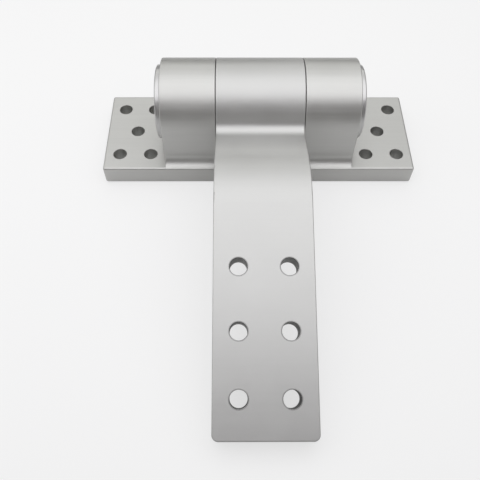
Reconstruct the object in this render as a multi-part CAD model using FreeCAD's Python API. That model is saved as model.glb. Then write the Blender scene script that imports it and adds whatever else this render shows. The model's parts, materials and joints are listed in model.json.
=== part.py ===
"""Heavy cranked strap hinge in anodised aluminium.

Millimetres. X runs along the barrel, Z is up, and the strap reaches towards -Y.
The origin lies on the base's mounting face, straight below the middle of the barrel.
The strap lies as it does unmounted on a table: swung down until its tip rests on the plane of that face.
"""
import FreeCAD, Part
import math
import os

V = FreeCAD.Vector
X_AXIS = V(1, 0, 0)
Y_AXIS = V(0, 1, 0)
Z_AXIS = V(0, 0, 1)

# Barrel
barrel_radius = 20.0
axis_height = 30.0            # barrel axis above the mounting face
centre_width = 40.0           # centre knuckle and strap
outer_width = 24.8            # each outer knuckle
seam_gap = 0.2                # open seam beside the centre knuckle
barrel_relief = 0.75          # room under the turning centre knuckle

# Base plate and pedestals
plate_length = 150.0
plate_thickness = 10.0
foot_depth = 4.5              # plate's edge ahead of the pedestal, front and back
foot_radius = 5.0             # cove between pedestal and that edge
plate_edge = 1.0              # rounding of the plate's outline
plate_corner = 1.2
wing_hole_radius = 3.2
wing_spacing_x = 15.0
wing_spacing_y = 30.0

# Strap
strap_thickness = 10.0
strap_reach = 150.0           # tip beyond the barrel axis, along the flat of the strap
ramp_angle = 36.7             # ramp against the flat of the strap, degrees
ramp_drop = 4.0               # barrel axis above the ramp's upper face
bend_radius = 36.0            # outside of the bend between ramp and flat
root_radius = 5.0             # coves where the ramp leaves the barrel
tip_corner = 2.5
strap_hole_radius = 3.5
strap_hole_spacing = 20.0
strap_hole_pitch = 25.0
strap_hole_rows = 3
tip_margin = 15.0             # last row of holes to the tip

# Pin and what it turns in
pin_radius = 8.0
bush_wall = 2.0
washer_radius = 13.0
washer_recess = 1.0           # depth of the washer's seat in the outer knuckle
support_thickness = 1.0
ring_thickness = 1.0
ring_width = 2.2              # radial width of the retaining ring at its back
ring_lug = 1.4                # radius of the ring's two lugs
groove_depth = 0.4
groove_play = 0.05
pin_overhang = 1.5            # pin beyond the groove
pin_chamfer = 0.6

# Set screw in the centre knuckle
screw_radius = 3.0
screw_length = 9.0
screw_seat = 0.5              # depth of its seat in the pin
socket_across_flats = 3.0
socket_depth = 3.5

# End caps
cap_step = 3.0                # knuckle radius less cap radius
cap_thickness = 2.5
cap_round = 0.8
spigot_length = 2.5
spigot_wall = 1.6

# Edges and fits
edge_break = 0.5
seam_break = 0.2
hole_break = 0.15
push_fit = 0.02               # radial, pieces that stay together
running_fit = 0.03            # radial, pin in its bushes
axial_play = 0.05
chamber_room = 0.4            # around the retaining ring's lugs

# Places that follow from the sizes above
pedestal_half = barrel_radius
plate_half_depth = pedestal_half + foot_depth
centre_half = centre_width / 2
outer_start = centre_half + seam_gap
barrel_end = outer_start + outer_width
wing_centre = (barrel_end + plate_length / 2) / 2
cap_radius = barrel_radius - cap_step
bush_radius = pin_radius + bush_wall
ring_inner = pin_radius - groove_depth + push_fit
lug_orbit = ring_inner + ring_width
chamber_radius = lug_orbit + ring_lug + chamber_room
washer_thickness = washer_recess + seam_gap - 2 * axial_play
ring_stack = support_thickness + ring_thickness + pin_overhang + 4 * axial_play
support_start = barrel_end - spigot_length - ring_stack
chamber_floor = support_start - axial_play
ring_start = support_start + support_thickness + groove_play
pin_half = ring_start + ring_thickness + pin_overhang
bush_start = outer_start + washer_recess + axial_play
strap_face = axis_height      # above the axis, so that folded over it lies level with the mounting face
strap_under = strap_face - strap_thickness
round_reach = strap_reach - edge_break
round_height = strap_under + edge_break
round_drop = (axis_height - edge_break) / math.hypot(round_reach, round_height)
rest_tilt = math.degrees(math.atan2(round_height, round_reach) + math.asin(round_drop))
SIDES = (("left", -1), ("right", 1))
axis_point = V(0, 0, axis_height)


def polygon_face(points):
    """Flat face inside straight lines through the points."""
    return Part.Face(Part.makePolygon(points + points[:1]))


def rod(radius, start, end):
    """Solid cylinder on the barrel axis between two places along X."""
    return Part.makeCylinder(radius, end - start, V(start, 0, axis_height), X_AXIS)


def tube(outer, inner, start, end):
    """Ring on the barrel axis between two places along X."""
    return rod(outer, start, end).cut(rod(inner, start, end))


def turned(outline):
    """Solid turned about the barrel axis from (place along X, radius) points."""
    face = polygon_face([V(x, 0, axis_height + radius) for x, radius in outline])
    return face.revolve(axis_point, X_AXIS, 360)


def mirrored(shape):
    """The same piece on the other end of the barrel."""
    return shape.mirror(V(0, 0, 0), X_AXIS)


def on_side(right_hand, sign):
    """A piece made for the right end, or its mirror image for the left."""
    return right_hand if sign > 0 else mirrored(right_hand)


def edges_where(shape, test):
    return [edge for edge in shape.Edges if test(edge)]


def near(a, b):
    return abs(a - b) < 1e-4


def drilled(shape, point, direction, radius, depth):
    """Through hole with a small break at both rims; the point lies on the near face."""
    along = V(direction).normalize()
    rim = radius + hole_break
    near_cone = Part.makeCone(rim, radius, hole_break, point, along)
    far_cone = Part.makeCone(radius, rim, hole_break, point + along * (depth - hole_break), along)
    return shape.cut([Part.makeCylinder(radius, depth, point, along), near_cone, far_cone])


def plate():
    """Base plate with rounded corners and softened outline."""
    corner = V(-plate_length / 2, -plate_half_depth, 0)
    blank = Part.makeBox(plate_length, 2 * plate_half_depth, plate_thickness, corner)
    upright = edges_where(blank, lambda e: near(e.BoundBox.ZLength, plate_thickness))
    blank = blank.makeFillet(plate_corner, upright)
    return blank.makeFillet(plate_edge, edges_where(blank, lambda e: near(e.BoundBox.ZLength, 0)))


def pedestal_outline(x):
    """Section of a pedestal and knuckle, whose sides run out in coves on the plate's rounded edges."""
    run_out = math.asin(1 - foot_depth / (foot_radius + plate_edge))
    toe_y = pedestal_half + foot_radius * (1 - math.sin(run_out))
    toe_z = plate_thickness - plate_edge * (1 - math.cos(run_out))
    cove_z = toe_z + foot_radius * math.cos(run_out)
    half_turn = (run_out + math.pi / 2) / 2
    middle_y = pedestal_half + foot_radius * (1 - math.sin(half_turn))
    middle_z = cove_z - foot_radius * math.cos(half_turn)
    low = plate_thickness / 2

    def side(sign):
        toe = V(x, sign * toe_y, toe_z)
        top = V(x, sign * pedestal_half, cove_z)
        cove = Part.Arc(toe, V(x, sign * middle_y, middle_z), top).toShape()
        wall = Part.makeLine(top, V(x, sign * pedestal_half, axis_height))
        inside = Part.makeLine(V(x, sign * toe_y, low), toe)
        return [inside, cove, wall]

    crown = Part.Arc(
        V(x, -pedestal_half, axis_height),
        V(x, 0, axis_height + barrel_radius),
        V(x, pedestal_half, axis_height),
    ).toShape()
    floor = Part.makeLine(V(x, toe_y, low), V(x, -toe_y, low))
    return Part.Wire(side(-1) + [crown] + side(1)[::-1] + [floor])


def pedestal():
    """Right pedestal with its half-round knuckle, from inside the plate up, ends softened."""
    solid = Part.Face(pedestal_outline(outer_start)).extrude(X_AXIS * outer_width)

    def outline_at(x):
        def test(e):
            box = e.BoundBox
            return near(box.XMin, x) and near(box.XMax, x) and box.ZMax > plate_thickness
        return test

    solid = solid.makeFillet(edge_break, edges_where(solid, outline_at(barrel_end)))
    return solid.makeFillet(seam_break, edges_where(solid, outline_at(outer_start)))


def base_leaf():
    right = pedestal()
    leaf = plate().fuse([right, mirrored(right)])
    cuts = [rod(barrel_radius + barrel_relief, -outer_start, outer_start)]
    for name, sign in SIDES:
        seat_end = outer_start + washer_recess
        bores = [
            rod(washer_radius + push_fit, outer_start, seat_end),
            rod(bush_radius + push_fit, outer_start, barrel_end),
            rod(chamber_radius, chamber_floor, barrel_end),
        ]
        cuts += [on_side(bore, sign) for bore in bores]
    leaf = leaf.cut(cuts).removeSplitter()
    corners = [(x, y) for x in (-1, 1) for y in (-1, 1)]
    for name, sign in SIDES:
        for step_x, step_y in corners + [(0, 0)]:
            x = sign * wing_centre + step_x * wing_spacing_x / 2
            y = step_y * wing_spacing_y / 2
            leaf = drilled(leaf, V(x, y, plate_thickness), -Z_AXIS, wing_hole_radius, plate_thickness)
    return leaf


def strap_blank():
    """Centre knuckle, ramp, bend and flat before drilling, with the flat level and reaching towards -Y."""
    angle = math.radians(ramp_angle)
    along = V(0, -math.cos(angle), math.sin(angle))
    normal = V(0, math.sin(angle), math.cos(angle))
    bend_centre_z = strap_face - bend_radius
    ramp_length = (strap_face + ramp_drop * math.cos(angle)) / math.sin(angle)
    corner = along * ramp_length - normal * ramp_drop
    tangent = bend_radius * math.tan(angle / 2)
    flat_start = corner.y - tangent
    centre = V(0, flat_start, bend_centre_z)
    halfway = V(0, math.sin(angle / 2), math.cos(angle / 2))
    inner_radius = bend_radius - strap_thickness

    def ramp_point(radius):
        return centre + normal * radius

    def flat_point(radius):
        return centre + Z_AXIS * radius

    root = normal * -ramp_drop
    under_root = normal * (-ramp_drop - strap_thickness)
    tip = V(0, -strap_reach, strap_face)
    under_tip = V(0, -strap_reach, strap_under)
    outline = Part.Wire([
        Part.makeLine(root, ramp_point(bend_radius)),
        Part.Arc(
            ramp_point(bend_radius), centre + halfway * bend_radius, flat_point(bend_radius)
        ).toShape(),
        Part.makeLine(flat_point(bend_radius), tip),
        Part.makeLine(tip, under_tip),
        Part.makeLine(under_tip, flat_point(inner_radius)),
        Part.Arc(
            flat_point(inner_radius), centre + halfway * inner_radius, ramp_point(inner_radius)
        ).toShape(),
        Part.makeLine(ramp_point(inner_radius), under_root),
        Part.makeLine(under_root, root),
    ])
    half_width = X_AXIS * centre_half
    strap = Part.Face(outline).extrude(X_AXIS * centre_width)
    strap.translate(-half_width)
    knuckle = Part.makeCylinder(barrel_radius, centre_width, -half_width, X_AXIS)
    blank = knuckle.fuse(strap).removeSplitter()

    def root_edge(e):
        place = e.CenterOfMass
        on_barrel = near(math.hypot(place.y, place.z), barrel_radius)
        return near(e.BoundBox.XLength, centre_width) and on_barrel and place.y < -ramp_drop

    def tip_edge(e):
        return near(e.BoundBox.YMin, -strap_reach) and near(e.BoundBox.ZLength, strap_thickness)

    blank = blank.makeFillet(root_radius, edges_where(blank, root_edge))
    blank = blank.makeFillet(tip_corner, edges_where(blank, tip_edge))

    def rim(e):
        box = e.BoundBox
        on_side_face = near(box.XLength, 0) and near(abs(box.XMax), centre_half)
        across_tip = near(box.YMin, -strap_reach) and near(box.ZLength, 0)
        return on_side_face or across_tip

    return blank.makeFillet(edge_break, edges_where(blank, rim))


def strap_leaf():
    leaf = strap_blank()
    for row in range(strap_hole_rows):
        y = -(strap_reach - tip_margin - row * strap_hole_pitch)
        for sign in (-1, 1):
            place = V(sign * strap_hole_spacing / 2, y, strap_face)
            leaf = drilled(leaf, place, -Z_AXIS, strap_hole_radius, strap_thickness)
    bore = Part.makeCylinder(pin_radius + push_fit, centre_width, V(-centre_half, 0, 0), X_AXIS)
    leaf = leaf.cut([bore, Part.makeCylinder(screw_radius + push_fit, barrel_radius, V(0, 0, 0), -Z_AXIS)])
    return swung_down(leaf)


def swung_down(shape):
    """Turns a piece of the strap from its level frame on the axis down to where the tip rests."""
    placed = shape.copy()
    placed.rotate(V(0, 0, 0), X_AXIS, rest_tilt)
    placed.translate(axis_point)
    return placed


def hinge_pin():
    """Turned pin with a groove near each end and a flat seat for the set screw."""
    tip = pin_half - pin_chamfer
    end_radius = pin_radius - pin_chamfer
    pin = turned([
        (-pin_half, 0), (-pin_half, end_radius), (-tip, pin_radius),
        (tip, pin_radius), (pin_half, end_radius), (pin_half, 0),
    ])
    groove_end = ring_start + ring_thickness + groove_play
    groove = tube(pin_radius + 1, pin_radius - groove_depth, ring_start - groove_play, groove_end)
    seat = Part.makeCylinder(screw_radius + push_fit, pin_radius, V(0, 0, screw_seat - pin_radius), -Z_AXIS)
    return pin.cut([groove, mirrored(groove), swung_down(seat)])


def pin_lock_screw():
    """Socket set screw from the underside of the centre knuckle, flat point on the pin."""
    point = pin_radius - screw_seat + push_fit
    body = Part.makeCylinder(screw_radius, screw_length, V(0, 0, -point), -Z_AXIS)
    body = body.makeChamfer(screw_radius / 6, edges_where(body, lambda e: near(e.BoundBox.ZLength, 0)))
    corner_radius = socket_across_flats / math.sqrt(3)
    turns = [math.radians(60 * k) for k in range(6)]
    head = -point - screw_length
    corners = [V(math.cos(t), math.sin(t), 0) * corner_radius for t in turns]
    hexagon = polygon_face([corner + V(0, 0, head) for corner in corners])
    return swung_down(body.cut(hexagon.extrude(Z_AXIS * socket_depth)))


def bush():
    """Right sleeve bush in its outer knuckle."""
    return tube(bush_radius, pin_radius + running_fit, bush_start, chamber_floor)


def thrust_washer():
    """Right thrust washer in its seat, standing proud into the seam."""
    start = outer_start + washer_recess - axial_play / 2 - washer_thickness
    return tube(washer_radius, pin_radius + running_fit + push_fit, start, start + washer_thickness)


def support_washer():
    """Right support washer between knuckle and retaining ring."""
    return tube(lug_orbit, pin_radius + push_fit, support_start, support_start + support_thickness)


def retaining_ring():
    """Right external retaining ring, eccentric, open at the top between two lugs with holes."""
    back_shift = ring_width / 8
    outer_radius = ring_inner + ring_width - back_shift
    place = V(ring_start, 0, axis_height)
    ring = Part.makeCylinder(outer_radius, ring_thickness, place - Z_AXIS * back_shift, X_AXIS)
    lug_angle = math.asin(ring_lug * 1.5 / lug_orbit)
    lugs = []
    holes = []
    for sign in (-1, 1):
        centre = place + V(0, sign * math.sin(lug_angle), math.cos(lug_angle)) * lug_orbit
        lugs.append(Part.makeCylinder(ring_lug, ring_thickness, centre, X_AXIS))
        holes.append(Part.makeCylinder(ring_lug / 2, ring_thickness, centre, X_AXIS))
    mouth_corner = place - Y_AXIS * (ring_lug / 2)
    mouth = Part.makeBox(ring_thickness, ring_lug, 2 * lug_orbit, mouth_corner)
    inner = Part.makeCylinder(ring_inner, ring_thickness, place, X_AXIS)
    return ring.fuse(lugs).cut(holes + [mouth, inner]).removeSplitter()


def end_cap():
    """Right cap: softened disc against the knuckle's end, with a hollow spigot in the pin chamber."""
    face = barrel_end + cap_thickness
    spigot_radius = chamber_radius - push_fit
    hollow = spigot_radius - spigot_wall
    cap = turned([
        (barrel_end - spigot_length, hollow), (barrel_end - spigot_length, spigot_radius),
        (barrel_end, spigot_radius), (barrel_end, cap_radius), (face, cap_radius),
        (face, 0), (barrel_end, 0), (barrel_end, hollow),
    ])

    def outer_rim(e):
        return near(e.BoundBox.XMin, face) and near(e.BoundBox.YMax, cap_radius)

    return cap.makeFillet(cap_round, edges_where(cap, outer_rim))


def main():
    nodes = {
        "base_leaf": base_leaf(),
        "strap_leaf": strap_leaf(),
        "hinge_pin": hinge_pin(),
        "pin_lock_screw": pin_lock_screw(),
    }
    pairs = {
        "bush": bush(),
        "thrust_washer": thrust_washer(),
        "support_washer": support_washer(),
        "retaining_ring": retaining_ring(),
        "end_cap": end_cap(),
    }
    for name, shape in pairs.items():
        for side, sign in SIDES:
            nodes[side + "_" + name] = on_side(shape, sign)
    os.makedirs("parts", exist_ok=True)
    for name, shape in nodes.items():
        solids = shape.Solids
        print(name, "solids", len(solids), "valid", shape.isValid(), "volume", round(shape.Volume, 1))
        solid = solids[0] if len(solids) == 1 else Part.makeCompound(solids)
        solid.exportStep("parts/" + name + ".step")
    print("rest tilt", round(rest_tilt, 4), "pin half length", round(pin_half, 3))


main()
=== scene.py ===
"""Looks of the cranked strap hinge: finishes, floor, light and camera, in metres in the model's frame."""

import json
import math

import bpy
from mathutils import Matrix, Vector

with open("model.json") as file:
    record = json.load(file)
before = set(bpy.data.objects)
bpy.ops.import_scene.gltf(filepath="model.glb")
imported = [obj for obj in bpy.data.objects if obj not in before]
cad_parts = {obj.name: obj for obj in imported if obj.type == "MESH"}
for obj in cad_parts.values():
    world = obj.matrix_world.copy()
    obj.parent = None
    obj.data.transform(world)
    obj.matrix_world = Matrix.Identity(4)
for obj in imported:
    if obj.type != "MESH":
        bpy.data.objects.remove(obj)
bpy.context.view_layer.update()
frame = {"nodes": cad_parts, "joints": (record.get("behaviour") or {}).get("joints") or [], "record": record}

MM = 0.001

# Height of the barrel axis, which the turned finish runs round
AXIS_HEIGHT = next(joint["pos_m"][2] for joint in frame["joints"] if joint["name"] == "strap_swing")

# Camera: it looks down by the pitch and turns right by the yaw; lens and sensor are in millimetres
CAMERA_PLACE = Vector((-0.01073, -0.20273, 0.22643))
CAMERA_PITCH = math.radians(57.504)
CAMERA_YAW = math.radians(0.346)
CAMERA_ROLL = math.radians(-0.055)
CAMERA_LENS, CAMERA_SENSOR = 43.486, 36.0
CAMERA_NEAR, CAMERA_FAR = 0.01, 50.0

# Values that a noise texture mostly stays between
NOISE_LOW, NOISE_HIGH = 0.3, 0.7

# Anodised leaves: marks per metre
GRAIN = 5200.0
CLOUDS = 55.0
DRAWN_LINES = (12.0, 750.0, 750.0)
# How far tone and roughness change with them
TONE_SPAN = 0.05
GRAIN_TONE = 0.35
CLOUD_TONE = 0.5
GRAIN_ROUGHNESS = 0.03
LINE_ROUGHNESS = 0.04

# Worn edges of the leaves
EDGE_WIDTH = 0.4 * MM
EDGE_SAMPLES = 6
# How far the rounded and the true direction of the surface agree there and on an open face
ON_EDGE, OFF_EDGE = 0.85, 0.995
# Least wear, and the cloud values between which it grows to the whole
WEAR_LEAST = 0.3
WEAR_LOW, WEAR_HIGH = 0.35, 0.65
# Tone of a worn edge against the face's, how much of it shows, and what comes off the roughness
EDGE_TONE = 1.16
EDGE_SHARE = 0.5
EDGE_POLISH = 0.06

# Drilled walls of the screw holes: how far past the bore they reach, and feed rings per metre
WALL_MARGIN = 0.05 * MM
WALL_ROUGHNESS = 0.45
FEED_RINGS = 3500.0
FEED_SPAN = 0.2
# Tone of the painted shade ring round a hole's mouth against the face's
RIM_SHADE_TONE = 0.68

# Turned caps: marks per metre
FINE_RINGS = 6500.0
WIDE_RINGS = 900.0
CAP_CLOUDS = 60.0
# How far tone and roughness change with them, and how many times deeper the wide rings are
FINE_RING_TONE = 0.5
WIDE_RING_TONE = 0.7
CAP_CLOUD_TONE = 0.4
CAP_DARK, CAP_LIGHT, CAP_WARMTH = 0.475, 0.54, 0.01
CAP_SMOOTH, CAP_ROUGH = 0.32, 0.40
FINE_RING_ROUGHNESS = 0.03
WIDE_RING_DEPTH = 2.0

# Metals inside the barrel: how much closer marks lie along it than across, and clouds per metre
INNER_STRETCH = (4.0, 1.0, 1.0)
INNER_CLOUDS = 120.0
INNER_TONE = 0.5

# Relief: its strength on leaves and caps, and its depth on the aluminium and on the metals inside
LEAF_BUMP = 0.25
CAP_BUMP = 0.3
ALUMINIUM_RELIEF = 0.04 * MM
INNER_RELIEF = 0.03 * MM

# Light: level soft boxes side by side above the part, from front to back
BOX_HEIGHT = 0.28
BOX_LENGTH = 0.90
BOX_SHIFT = -0.10
KEY_FRONT, FILL_FRONT, BACK_FRONT, BACK_END = -0.215, 0.11, 0.35, 0.60
KEY_GLOW, FILL_GLOW, BACK_GLOW = 1.49, 0.80, 1.48
KEY_WARMTH, FILL_WARMTH, BACK_WARMTH = -0.02, 0.0, 0.02

# Room: its colours, and the Y and the X of a direction between which one gives way to the next
ROOM_FRONT = (0.455, 0.43, 0.455, 1.0)
ROOM_HORIZON = (0.18, 0.18, 0.167, 1.0)
ROOM_BACK = (0.17, 0.17, 0.166, 1.0)
ROOM_SIDE = (0.45, 0.45, 0.45, 1.0)
FRONT_ENDS, BACK_STARTS = -0.5, -0.2
SIDE_STARTS, SIDE_FULL = 0.7, 0.9

# White that the camera sees in place of the room and of the far floor
SEEN_WHITE = 0.94

# Floor, just under the part
FLOOR_HALF = 3.0
FLOOR_LEVEL = -0.3 * MM
FLOOR_TONE = 0.79
FLOOR_SPAN = 0.015
FLOOR_CLOUDS = 6.0
FLOOR_ROUGHNESS = 0.8
FLOOR_GLOSS = 0.2
# Share of white that the camera sees over it near the part, and the distances between which it grows to all
WHITE_NEAR = 0.70
WHITE_GROWS, WHITE_FULL = 0.25, 0.65
# Share of white in what metal and glass show of it
WHITE_MIRRORED = 0.12


class Graph:
    """Short way to add shader nodes to a material or world and to join them."""

    def __init__(self, owner):
        owner.use_nodes = True
        self.tree = owner.node_tree
        self.tree.nodes.clear()

    def fill(self, socket, value):
        """Joins a socket to another node's output, or sets it to a plain value."""
        if isinstance(value, bpy.types.NodeSocket):
            self.tree.links.new(value, socket)
        else:
            socket.default_value = value

    def node(self, kind, inputs=None, **settings):
        made = self.tree.nodes.new(kind)
        for name, value in settings.items():
            setattr(made, name, value)
        for key, value in (inputs or {}).items():
            self.fill(made.inputs[key], value)
        return made

    def math(self, operation, a, b=0.0):
        return self.node("ShaderNodeMath", {0: a, 1: b}, operation=operation).outputs[0]

    def chain(self, operation, first, *others):
        """Result of an operation on several values in turn."""
        for other in others:
            first = self.math(operation, first, other)
        return first

    def total(self, *values):
        return self.chain("ADD", *values)

    def vector(self, operation, a, b=(0.0, 0.0, 0.0), result="Vector"):
        return self.node("ShaderNodeVectorMath", {0: a, 1: b}, operation=operation).outputs[result]

    def split(self, vector):
        parts = self.node("ShaderNodeSeparateXYZ", {"Vector": vector}).outputs
        return parts["X"], parts["Y"], parts["Z"]

    def joined(self, x, y=0.0, z=0.0):
        return self.node("ShaderNodeCombineXYZ", {"X": x, "Y": y, "Z": z}).outputs["Vector"]

    def place(self):
        return self.node("ShaderNodeTexCoord").outputs["Object"]

    def stretched(self, vector, scale):
        return self.node("ShaderNodeMapping", {"Vector": vector, "Scale": scale}).outputs["Vector"]

    def noise(self, vector, scale=1.0, detail=2.0, roughness=0.5):
        inputs = {"Vector": vector, "Scale": scale, "Detail": detail, "Roughness": roughness}
        return self.node("ShaderNodeTexNoise", inputs).outputs["Fac"]

    def spread(self, value, low, high, from_low=0.0, from_high=1.0):
        """Straight-line change of a value from one range to another, held at the ends."""
        inputs = {
            "Value": value,
            "From Min": from_low,
            "From Max": from_high,
            "To Min": low,
            "To Max": high,
        }
        return self.node("ShaderNodeMapRange", inputs).outputs["Result"]

    def between(self, noise, low, high):
        """Noise spread over a range."""
        return self.spread(noise, low, high, NOISE_LOW, NOISE_HIGH)

    def sway(self, noise, amount):
        """Noise as a change of up to an amount, down or up."""
        return self.between(noise, -amount, amount)

    def blend(self, factor, a, b):
        """Colour between a and b."""
        made = self.node("ShaderNodeMix", data_type="RGBA")
        for key, value in (("Factor_Float", factor), ("A_Color", a), ("B_Color", b)):
            self.fill(next(s for s in made.inputs if s.identifier == key), value)
        return next(s for s in made.outputs if s.identifier == "Result_Color")

    def shade(self, tone, dark, light):
        """Colour from dark to light as a tone goes from -1 to 1."""
        return self.blend(self.spread(tone, 0.0, 1.0, -1.0, 1.0), dark, light)

    def bump(self, height, strength, distance):
        inputs = {"Height": height, "Strength": strength, "Distance": distance}
        return self.node("ShaderNodeBump", inputs).outputs["Normal"]

    def edge_mask(self):
        """1 on edges that stand out or run in, 0 on open faces."""
        rounded = self.node("ShaderNodeBevel", {"Radius": EDGE_WIDTH}, samples=EDGE_SAMPLES)
        geometry = self.node("ShaderNodeNewGeometry")
        directions = rounded.outputs["Normal"], geometry.outputs["Normal"]
        agreement = self.vector("DOT_PRODUCT", *directions, result="Value")
        return self.spread(agreement, 1.0, 0.0, ON_EDGE, OFF_EDGE)

    def wall_distance(self, place, holes):
        """Distance past the wall of the nearest screw hole; the holes are those of a leaf's +X half."""
        x, y, z = self.split(place)
        half = self.joined(self.math("ABSOLUTE", x), y, z)
        walls = []
        for middle, direction, radius in holes:
            across = self.vector("CROSS_PRODUCT", self.vector("SUBTRACT", half, middle), direction)
            distance = self.vector("LENGTH", across, result="Value")
            walls.append(self.math("SUBTRACT", distance, radius))
        return self.chain("MINIMUM", *walls)

    def metal(self, colour, roughness, normal):
        """Makes metal the material's surface."""
        inputs = {"Base Color": colour, "Metallic": 1.0, "Roughness": roughness, "Normal": normal}
        shader = self.node("ShaderNodeBsdfPrincipled", inputs)
        self.node("ShaderNodeOutputMaterial", {"Surface": shader.outputs["BSDF"]})


def grey(value, warmth=0.0):
    """Grey with a share of its blue taken off."""
    return (value, value, value * (1 - warmth), 1.0)


def grey_pair(value, span, warmth=0.0):
    """Greys a share darker and a share lighter than a value."""
    return grey(value * (1 - span), warmth), grey(value * (1 + span), warmth)


def screw_holes(leaf):
    """Middle, direction and radius of the screw holes on a leaf's +X half, from the bolt patterns."""
    holes = []
    for mount in frame["record"]["mounts"]:
        if mount["kind"] != "bolt_pattern" or not mount["name"].startswith(leaf):
            continue
        dims = mount["dims"]
        aside = dims.get("spacing_x_mm", dims.get("pcd_mm")) * MM / 2
        apart = dims.get("spacing_y_mm", 0.0) * MM / 2
        for shift in sorted({-apart, apart}):
            middle = Vector(mount["pos_m"]) + Vector((aside, shift, 0.0))
            holes.append((middle, Vector(mount["axis"]), dims["hole_r_mm"] * MM))
    return holes


def anodised_aluminium(leaf, level, warmth, smooth, rough, lines, wall_tone_and_shade, shade_rim_width):
    """Bead-blasted, natural anodised: fine even grain, faint clouds and drawn lines, worn edges.
    The screw holes have drilled walls in a tone of their own, which on the strap is dark as painted shade
    inside the holes, and a ring of painted shade round the mouth."""
    material = bpy.data.materials.new("anodised_" + leaf)
    g = Graph(material)
    place = g.place()
    grain = g.noise(place, GRAIN, detail=2.0, roughness=0.6)
    clouds = g.noise(place, CLOUDS, detail=3.0, roughness=0.55)
    drawn = g.noise(g.stretched(place, DRAWN_LINES), detail=3.0, roughness=0.6)
    edge = g.math("MULTIPLY", g.edge_mask(), g.spread(clouds, WEAR_LEAST, 1.0, WEAR_LOW, WEAR_HIGH))

    tone = g.total(g.sway(clouds, CLOUD_TONE), g.sway(grain, GRAIN_TONE), g.sway(drawn, lines))
    colour = g.shade(tone, *grey_pair(level, TONE_SPAN, warmth))
    colour = g.blend(g.math("MULTIPLY", edge, EDGE_SHARE), colour, grey(level * EDGE_TONE, warmth))
    roughness = g.total(
        g.between(clouds, smooth, rough),
        g.sway(grain, GRAIN_ROUGHNESS),
        g.sway(drawn, lines * LINE_ROUGHNESS),
        g.math("MULTIPLY", edge, -EDGE_POLISH),
    )

    holes = screw_holes(leaf)
    direction = holes[0][1]
    past_wall = g.wall_distance(place, holes)
    shade_rim = g.math("LESS_THAN", past_wall, shade_rim_width)
    drilled = g.math("LESS_THAN", past_wall, WALL_MARGIN)
    depth = g.vector("DOT_PRODUCT", place, direction, "Value")
    feed = g.noise(g.joined(depth), FEED_RINGS, detail=1.0)
    # Wall colour: the drilled walls' own tone with feed rings; on the strap its low tone is painted shade
    # inside the holes
    wall_colour_and_shade = g.blend(g.between(feed, 0.0, 1.0), *grey_pair(wall_tone_and_shade, FEED_SPAN, warmth))
    # Painted shade: a darker ring round each hole's mouth, standing in for the shade of its broken edge
    colour = g.blend(shade_rim, colour, grey(level * RIM_SHADE_TONE, warmth))
    colour = g.blend(drilled, colour, wall_colour_and_shade)
    roughness = g.spread(drilled, roughness, WALL_ROUGHNESS)
    relief = g.spread(drilled, grain, feed)
    g.metal(colour, roughness, g.bump(relief, LEAF_BUMP, ALUMINIUM_RELIEF))
    return material


def turned_aluminium():
    """Faced on a lathe and anodised: fine and wide rings round the barrel axis."""
    material = bpy.data.materials.new("turned_aluminium")
    g = Graph(material)
    place = g.place()
    along, across, up = g.split(place)
    above_axis = g.math("SUBTRACT", up, AXIS_HEIGHT)
    radius = g.vector("LENGTH", g.joined(0.0, across, above_axis), result="Value")
    ring_place = g.joined(radius, along)
    fine_rings = g.noise(ring_place, FINE_RINGS, detail=1.0)
    wide_rings = g.noise(ring_place, WIDE_RINGS)
    clouds = g.noise(place, CAP_CLOUDS, detail=3.0, roughness=0.55)
    tone = g.total(
        g.sway(fine_rings, FINE_RING_TONE),
        g.sway(clouds, CAP_CLOUD_TONE),
        g.sway(wide_rings, WIDE_RING_TONE),
    )
    colour = g.shade(tone, grey(CAP_DARK, CAP_WARMTH), grey(CAP_LIGHT, CAP_WARMTH))
    polish = g.between(wide_rings, CAP_SMOOTH, CAP_ROUGH)
    roughness = g.total(polish, g.sway(fine_rings, FINE_RING_ROUGHNESS))
    relief = g.total(fine_rings, g.math("MULTIPLY", wide_rings, WIDE_RING_DEPTH))
    g.metal(colour, roughness, g.bump(relief, CAP_BUMP, ALUMINIUM_RELIEF))
    return material


def inner_metal(name, dark, light, smooth, rough, marks, bump):
    """Metal with grain, clouds of tone and uneven polish; its marks are counted per metre."""
    material = bpy.data.materials.new(name)
    g = Graph(material)
    place = g.place()
    grain = g.noise(g.stretched(place, INNER_STRETCH), marks, detail=3.0, roughness=0.6)
    clouds = g.noise(place, INNER_CLOUDS, detail=3.0, roughness=0.6)
    tone = g.total(g.sway(grain, INNER_TONE), g.sway(clouds, INNER_TONE))
    roughness = g.between(clouds, smooth, rough)
    g.metal(g.shade(tone, dark, light), roughness, g.bump(grain, bump, INNER_RELIEF))
    return material


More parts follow.
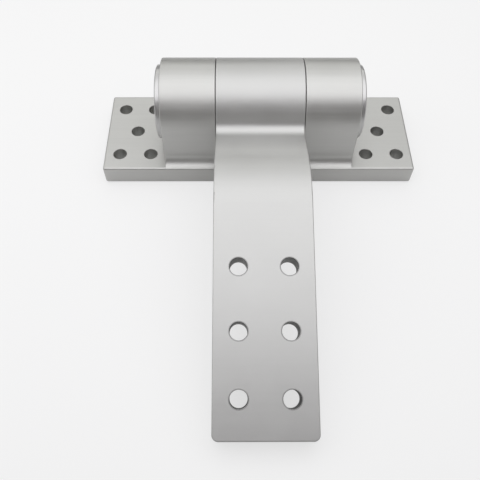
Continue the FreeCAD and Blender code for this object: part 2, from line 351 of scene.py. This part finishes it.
def dress():
    """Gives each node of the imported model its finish."""
    base = anodised_aluminium(
        "base",
        level=0.505,
        warmth=0.03,
        smooth=0.42,
        rough=0.48,
        lines=0.5,
        wall_tone_and_shade=0.58,
        shade_rim_width=0.1 * MM,
    )
    strap = anodised_aluminium(
        "strap",
        level=0.515,
        warmth=0.02,
        smooth=0.46,
        rough=0.52,
        lines=0.2,
        # Dark hole walls here are painted shade inside the strap's holes
        wall_tone_and_shade=0.22,
        shade_rim_width=0.45 * MM,
    )
    turned = turned_aluminium()
    steel = inner_metal(
        "ground_steel", grey(0.42), grey(0.52), smooth=0.18, rough=0.30, marks=2500.0, bump=0.15
    )
    black = inner_metal(
        "blackened_steel", grey(0.025), grey(0.05), smooth=0.38, rough=0.55, marks=3000.0, bump=0.2
    )
    bronze_dark = (0.50, 0.29, 0.12, 1.0)
    bronze_light = (0.62, 0.40, 0.19, 1.0)
    bronze = inner_metal(
        "bronze", bronze_dark, bronze_light, smooth=0.28, rough=0.42, marks=4000.0, bump=0.3
    )
    finishes = {
        "base_leaf": base,
        "strap_leaf": strap,
        "end_cap": turned,
        "hinge_pin": steel,
        "support_washer": steel,
        "pin_lock_screw": black,
        "retaining_ring": black,
        "bush": bronze,
        "thrust_washer": bronze,
    }
    for name, piece in frame["nodes"].items():
        finish = next(material for ending, material in finishes.items() if name.endswith(ending))
        piece.data.materials.clear()
        piece.data.materials.append(finish)


def floor_finish():
    """Pale and matt; the camera sees a share of plain white over it, and only white far from the part."""
    material = bpy.data.materials.new("floor")
    g = Graph(material)
    place = g.place()
    clouds = g.noise(place, FLOOR_CLOUDS, detail=3.0)
    inputs = {
        "Base Color": g.blend(clouds, *grey_pair(FLOOR_TONE, FLOOR_SPAN)),
        "Roughness": FLOOR_ROUGHNESS,
        "Specular IOR Level": FLOOR_GLOSS,
    }
    lit = g.node("ShaderNodeBsdfPrincipled", inputs)
    white = g.node("ShaderNodeEmission", {"Color": grey(SEEN_WHITE), "Strength": 1.0})
    path = g.node("ShaderNodeLightPath").outputs
    in_mirror = g.math("MAXIMUM", path["Is Glossy Ray"], path["Is Transmission Ray"])
    mirrored = g.math("MULTIPLY", in_mirror, WHITE_MIRRORED)
    distance = g.vector("LENGTH", place, result="Value")
    share = g.spread(distance, WHITE_NEAR, 1.0, WHITE_GROWS, WHITE_FULL)
    shown = g.math("MAXIMUM", mirrored, g.math("MULTIPLY", path["Is Camera Ray"], share))
    layers = {0: shown, 1: lit.outputs["BSDF"], 2: white.outputs["Emission"]}
    mixed = g.node("ShaderNodeMixShader", layers)
    g.node("ShaderNodeOutputMaterial", {"Surface": mixed.outputs["Shader"]})
    return material


def make_floor():
    signs = ((-1, -1), (1, -1), (1, 1), (-1, 1))
    corners = [(x * FLOOR_HALF, y * FLOOR_HALF, FLOOR_LEVEL) for x, y in signs]
    mesh = bpy.data.meshes.new("floor")
    mesh.from_pydata(corners, [], [(0, 1, 2, 3)])
    mesh.materials.append(floor_finish())
    floor = bpy.data.objects.new("floor", mesh)
    bpy.context.scene.collection.objects.link(floor)


def soft_box(name, start, end, glow, warmth):
    """Level lamp facing down, between two places along Y; its glow is how bright it looks."""
    lamp = bpy.data.lights.new(name, "AREA")
    lamp.shape = "RECTANGLE"
    lamp.size = BOX_LENGTH
    lamp.size_y = end - start
    lamp.color = grey(1.0, warmth)[:3]
    lamp.energy = glow * math.pi * BOX_LENGTH * (end - start)
    box = bpy.data.objects.new(name, lamp)
    box.location = (BOX_SHIFT, (start + end) / 2, BOX_HEIGHT)
    box.visible_camera = False
    bpy.context.scene.collection.objects.link(box)


def make_room():
    """Dim room round the part: dark at the back and at the front's horizon, lighter above the front
    and at the sides. The camera sees it pale."""
    world = bpy.data.worlds.new("room")
    bpy.context.scene.world = world
    g = Graph(world)
    x, y, z = g.split(g.node("ShaderNodeTexCoord").outputs["Generated"])
    front = g.blend(z, ROOM_HORIZON, ROOM_FRONT)
    colour = g.blend(g.spread(y, 0.0, 1.0, FRONT_ENDS, BACK_STARTS), front, ROOM_BACK)
    aside = g.math("ABSOLUTE", x)
    colour = g.blend(g.spread(aside, 0.0, 1.0, SIDE_STARTS, SIDE_FULL), colour, ROOM_SIDE)
    seen = g.node("ShaderNodeLightPath").outputs["Is Camera Ray"]
    shown = g.blend(seen, colour, grey(SEEN_WHITE))
    background = g.node("ShaderNodeBackground", {"Color": shown, "Strength": 1.0})
    g.node("ShaderNodeOutputWorld", {"Surface": background.outputs["Background"]})


def make_camera():
    lens = bpy.data.cameras.new("camera")
    lens.lens = CAMERA_LENS
    lens.sensor_width = CAMERA_SENSOR
    lens.clip_start = CAMERA_NEAR
    lens.clip_end = CAMERA_FAR
    camera = bpy.data.objects.new("camera", lens)
    pitch = Matrix.Rotation(math.pi / 2 - CAMERA_PITCH, 4, "X")
    yaw = Matrix.Rotation(-CAMERA_YAW, 4, "Y")
    roll = Matrix.Rotation(CAMERA_ROLL, 4, "Z")
    camera.matrix_world = Matrix.Translation(CAMERA_PLACE) @ pitch @ yaw @ roll
    bpy.context.scene.collection.objects.link(camera)
    bpy.context.scene.camera = camera


dress()
make_floor()
soft_box("key", KEY_FRONT, FILL_FRONT, KEY_GLOW, KEY_WARMTH)
soft_box("fill", FILL_FRONT, BACK_FRONT, FILL_GLOW, FILL_WARMTH)
soft_box("back", BACK_FRONT, BACK_END, BACK_GLOW, BACK_WARMTH)
make_room()
make_camera()
bpy.context.scene.view_settings.view_transform = "Standard"
